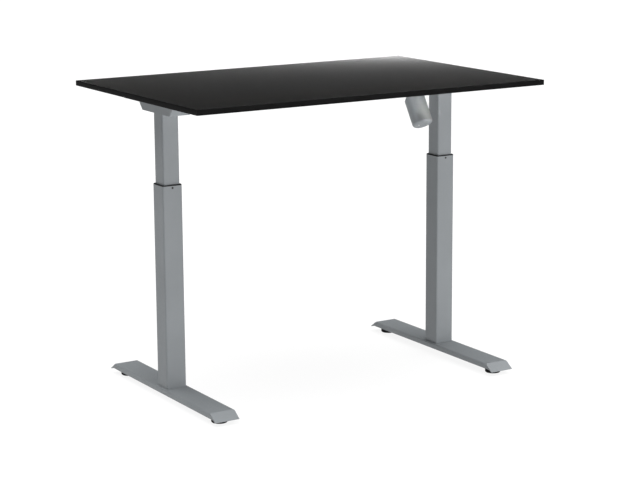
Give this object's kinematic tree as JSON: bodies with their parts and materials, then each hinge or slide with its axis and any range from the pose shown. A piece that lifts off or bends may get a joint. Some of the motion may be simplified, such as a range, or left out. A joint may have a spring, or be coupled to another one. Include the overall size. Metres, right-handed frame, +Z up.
{
  "type": "height adjustable standing desk",
  "caption": "Rectangular desk top on a T-foot steel frame whose two-stage columns rise and fall together, driven by one motor through a cross shaft and lead screws.",
  "frame": {"origin": "on the floor, centred under the table top, midway between the two columns", "axes": "+X along the width, towards the leg with the motor; +Y towards the user's long edge, where the handset is; +Z up"},
  "size_m": [1.2, 0.8, 0.934],
  "materials": {
    "black_laminate": "matt melamine",
    "black_edge": "matt edge band",
    "grey_powder_coat": "fine-textured powder coat",
    "cast_alloy": "as cast",
    "black_plastic": "moulded, fine grain",
    "black_steel": "black oxide",
    "zinc_steel": "bright zinc",
    "bare_steel": "oiled",
    "white_acetal": "moulded",
    "gear_brass": "machined",
    "rotor_copper": "lacquered windings",
    "grey_button": "soft touch"
  },
  "bodies": {
    "left_base": {"left_foot": "grey_powder_coat", "left_foot_plate": "bare_steel", "left_foot_bolts": "zinc_steel", "left_glide_nuts": "zinc_steel", "left_base_plate": "bare_steel", "left_outer_tube": "grey_powder_coat", "left_rim_bush": "black_plastic", "left_rim_screw": "black_steel", "left_nut_tube": "bare_steel", "left_drive_nut": "white_acetal"},
    "upper_frame": {"left_inner_tube": "grey_powder_coat", "right_inner_tube": "grey_powder_coat", "left_slide_shoe": "black_plastic", "right_slide_shoe": "black_plastic", "tube_heads": "cast_alloy", "screw_bearings": "bare_steel", "gearboxes": "cast_alloy", "gearbox_lids": "cast_alloy", "gearbox_screws": "zinc_steel", "left_support_arm": "grey_powder_coat", "right_support_arm": "grey_powder_coat", "cross_rails": "grey_powder_coat", "rail_end_plates": "grey_powder_coat", "rail_screws": "zinc_steel", "drive_housing": "cast_alloy", "motor_bracket": "grey_powder_coat", "bracket_screws": "zinc_steel", "motor_housing": "grey_powder_coat", "control_box": "black_plastic", "control_box_cover": "black_steel", "mains_inlet": "black_plastic", "handset": "black_plastic", "handset_back": "black_plastic", "table_top": "black_laminate", "edge_band": "black_edge", "wood_screws": "zinc_steel"},
    "right_base": {"right_foot": "grey_powder_coat", "right_foot_plate": "bare_steel", "right_foot_bolts": "zinc_steel", "right_glide_nuts": "zinc_steel", "right_base_plate": "bare_steel", "right_outer_tube": "grey_powder_coat", "right_rim_bush": "black_plastic", "right_rim_screw": "black_steel", "right_nut_tube": "bare_steel", "right_drive_nut": "white_acetal"},
    "left_screw": {"left_lead_screw": "bare_steel", "left_bevel_gear": "gear_brass"},
    "right_screw": {"right_lead_screw": "bare_steel", "right_bevel_gear": "gear_brass"},
    "cross_shaft": {"hex_shaft": "bare_steel", "shaft_gears": "gear_brass", "worm_wheel": "white_acetal"},
    "rotor": {"motor_rotor": "rotor_copper"},
    "left_front_foot_glide": {"left_front_glide": "black_plastic"},
    "left_rear_foot_glide": {"left_rear_glide": "black_plastic"},
    "right_front_foot_glide": {"right_front_glide": "black_plastic"},
    "right_rear_foot_glide": {"right_rear_glide": "black_plastic"},
    "up_key": {"up_button": "grey_button"},
    "down_key": {"down_button": "grey_button"}
  },
  "joints": [
    {"name": "lift", "type": "slide", "parent": "left_base", "child": "upper_frame", "axis": [0, 0, 1], "range_m": [-0.208, 0.292]},
    {"name": "right_leg_slide", "type": "slide", "parent": "upper_frame", "child": "right_base", "axis": [0, 0, -1], "range_m": [-0.208, 0.292]},
    {"name": "left_screw_spin", "type": "hinge", "parent": "upper_frame", "child": "left_screw", "pos_m": [-0.4935, 0, 0.6], "axis": [0, 0, 1], "range_deg": [-6241, 8761]},
    {"name": "right_screw_spin", "type": "hinge", "parent": "upper_frame", "child": "right_screw", "pos_m": [0.4935, 0, 0.6], "axis": [0, 0, 1], "range_deg": [-8761, 6241]},
    {"name": "cross_shaft_spin", "type": "hinge", "parent": "upper_frame", "child": "cross_shaft", "pos_m": [0, 0, 0.89], "axis": [1, 0, 0], "range_deg": [-6241, 8761]},
    {"name": "rotor_spin", "type": "hinge", "parent": "upper_frame", "child": "rotor", "pos_m": [0.395, 0.0212, 0.87675], "axis": [0, -0.5299, -0.848], "range_deg": [-74881, 105122]},
    {"name": "left_front_glide_adjust", "type": "slide", "parent": "left_base", "child": "left_front_foot_glide", "axis": [0, 0, -1], "range_m": [0, 0.008]},
    {"name": "left_rear_glide_adjust", "type": "slide", "parent": "left_base", "child": "left_rear_foot_glide", "axis": [0, 0, -1], "range_m": [0, 0.008]},
    {"name": "right_front_glide_adjust", "type": "slide", "parent": "right_base", "child": "right_front_foot_glide", "axis": [0, 0, -1], "range_m": [0, 0.008]},
    {"name": "right_rear_glide_adjust", "type": "slide", "parent": "right_base", "child": "right_rear_foot_glide", "axis": [0, 0, -1], "range_m": [0, 0.008]},
    {"name": "up_button_press", "type": "slide", "parent": "upper_frame", "child": "up_key", "axis": [0, -1, 0], "range_m": [0, 0.001], "stiffness_N_per_m": 800, "springref_m": -0.001},
    {"name": "down_button_press", "type": "slide", "parent": "upper_frame", "child": "down_key", "axis": [0, -1, 0], "range_m": [0, 0.001], "stiffness_N_per_m": 800, "springref_m": -0.001}
  ],
  "couplings": [
    {"joint": "right_leg_slide", "follows": "lift", "ratio": 1},
    {"joint": "left_screw_spin", "follows": "lift", "rad_per_m": 523.6},
    {"joint": "right_screw_spin", "follows": "lift", "rad_per_m": -523.6},
    {"joint": "cross_shaft_spin", "follows": "lift", "rad_per_m": 523.6},
    {"joint": "rotor_spin", "follows": "lift", "rad_per_m": 6283.2}
  ]
}
